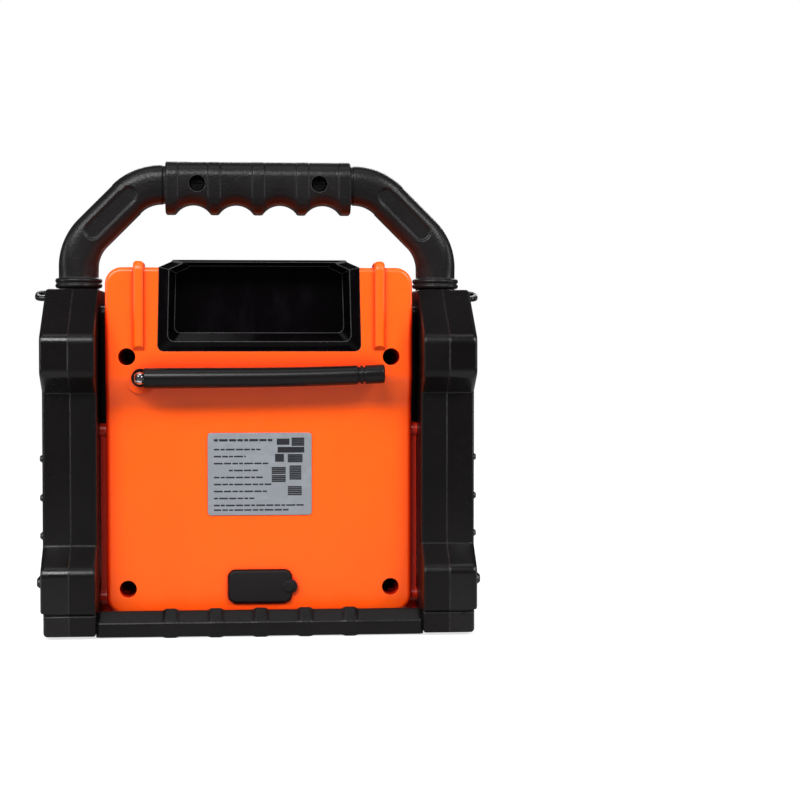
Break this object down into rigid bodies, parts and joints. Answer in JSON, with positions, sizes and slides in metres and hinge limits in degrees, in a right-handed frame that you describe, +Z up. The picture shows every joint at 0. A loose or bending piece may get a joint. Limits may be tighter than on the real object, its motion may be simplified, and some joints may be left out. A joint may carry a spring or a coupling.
{
  "type": "jobsite radio",
  "caption": "Rugged portable radio: case between side guards, arched carrying handle, folding rear antenna, phone tray, covered power inlets, front speaker and controls.",
  "frame": {"origin": "on the ground, under the middle of the radio's bounding box", "axes": "+Z up; the rear, with the antenna, faces +Y; the speaker faces -Y; left is +X, as seen from behind"},
  "size_m": [0.2168, 0.13, 0.2243],
  "materials": {
    "case_orange": "satin moulded plastic",
    "seal_rubber": "matt rubber",
    "steel_screws": "blackened steel",
    "tray_gloss": "polished black",
    "label_silver": "printed foil, bare",
    "socket_metal": "plated steel",
    "socket_black": "moulded",
    "board_green": "solder mask",
    "cover_rubber": "matt rubber",
    "chrome": "polished",
    "antenna_rubber": "satin rubber",
    "guard_plastic": "satin",
    "inner_guard_plastic": "fine grained",
    "handle_plastic": "fine grained",
    "bar_plastic": "fine grained",
    "panel_plastic": "fine grained",
    "grille_steel": "powder coated",
    "basket_steel": "stamped, painted",
    "magnet_ferrite": "ferrite and plate",
    "surround_rubber": "matt rubber",
    "cone_paper": "pressed paper",
    "window_clear": "smoked, clear",
    "display_dark": "display glass",
    "button_plastic": "soft touch",
    "knob_plastic": "moulded, fluted",
    "light_pipe": "clear moulding",
    "cell_wrap": "shrink wrap"
  },
  "bodies": {
    "radio": {"rear_housing": "case_orange", "front_housing": "case_orange", "housing_seal": "seal_rubber", "housing_screws": "steel_screws", "phone_tray": "tray_gloss", "rating_label": "label_silver", "usb_c_socket": "socket_metal", "dc_jack": "socket_black", "dc_jack_pin": "socket_metal", "power_board": "board_green", "power_board_posts": "case_orange", "antenna_base": "socket_black", "left_guard_inner": "inner_guard_plastic", "left_guard_outer": "guard_plastic", "right_guard_inner": "inner_guard_plastic", "right_guard_outer": "guard_plastic", "guard_screws": "steel_screws", "feet": "seal_rubber", "left_elbow": "handle_plastic", "right_elbow": "handle_plastic", "grip_rear": "handle_plastic", "grip_front": "handle_plastic", "grip_screws": "steel_screws", "rear_bar": "bar_plastic", "front_bar": "bar_plastic", "front_panel": "panel_plastic", "panel_screws": "steel_screws", "speaker_grille": "grille_steel", "speaker_basket": "basket_steel", "speaker_magnet": "magnet_ferrite", "speaker_surround": "surround_rubber", "display_window": "window_clear", "display_module": "display_dark", "main_board": "board_green", "volume_encoder": "socket_metal", "status_light": "light_pipe", "usb_a_socket": "socket_metal", "aux_jack": "socket_black", "battery_holder": "socket_black", "battery_cells": "cell_wrap"},
    "antenna_knuckle_body": {"antenna_knuckle": "chrome", "antenna_nut": "steel_screws", "antenna_pin": "chrome"},
    "antenna_whip_body": {"antenna_ferrule": "chrome", "antenna_whip": "antenna_rubber", "antenna_cap": "antenna_rubber"},
    "port_cover_body": {"port_cover": "cover_rubber"},
    "media_cover_body": {"media_cover": "cover_rubber"},
    "volume_body": {"volume_knob": "knob_plastic", "encoder_shaft": "socket_metal"},
    "cone_body": {"speaker_cone": "cone_paper"},
    "power_button_body": {"power_button": "button_plastic"},
    "mode_button_body": {"mode_button": "button_plastic"},
    "previous_button_body": {"previous_button": "button_plastic"},
    "play_button_body": {"play_button": "button_plastic"},
    "next_button_body": {"next_button": "button_plastic"}
  },
  "joints": [
    {"name": "antenna_swivel", "type": "hinge", "parent": "radio", "child": "antenna_knuckle_body", "pos_m": [0.0555, 0.0532, 0.1196], "axis": [0, 1, 0], "range_deg": [-50, 105]},
    {"name": "antenna_tilt", "type": "hinge", "parent": "antenna_knuckle_body", "child": "antenna_whip_body", "pos_m": [0.0555, 0.0532, 0.1196], "axis": [-0.0157, 0, -0.9999], "range_deg": [0, 90]},
    {"name": "port_cover_hinge", "type": "hinge", "parent": "radio", "child": "port_cover_body", "pos_m": [0.015, 0.042, 0.0209], "axis": [0, 0, -1], "range_deg": [0, 150]},
    {"name": "media_cover_hinge", "type": "hinge", "parent": "radio", "child": "media_cover_body", "pos_m": [0.0548, -0.0512, 0.0289], "axis": [0, 0, 1], "range_deg": [0, 110]},
    {"name": "volume_turn", "type": "hinge", "parent": "radio", "child": "volume_body", "pos_m": [0.038, -0.055, 0.1459], "axis": [0, -1, 0], "continuous": true},
    {"name": "cone_travel", "type": "slide", "parent": "radio", "child": "cone_body", "axis": [0, -1, 0], "range_m": [-0.0008, 0.0008], "stiffness_N_per_m": 1500},
    {"name": "power_press", "type": "slide", "parent": "radio", "child": "power_button_body", "axis": [0, 1, 0], "range_m": [0, 0.0008], "stiffness_N_per_m": 1800},
    {"name": "mode_press", "type": "slide", "parent": "radio", "child": "mode_button_body", "axis": [0, 1, 0], "range_m": [0, 0.0008], "stiffness_N_per_m": 1800},
    {"name": "previous_press", "type": "slide", "parent": "radio", "child": "previous_button_body", "axis": [0, 1, 0], "range_m": [0, 0.0008], "stiffness_N_per_m": 1800},
    {"name": "play_press", "type": "slide", "parent": "radio", "child": "play_button_body", "axis": [0, 1, 0], "range_m": [0, 0.0008], "stiffness_N_per_m": 1800},
    {"name": "next_press", "type": "slide", "parent": "radio", "child": "next_button_body", "axis": [0, 1, 0], "range_m": [0, 0.0008], "stiffness_N_per_m": 1800}
  ]
}
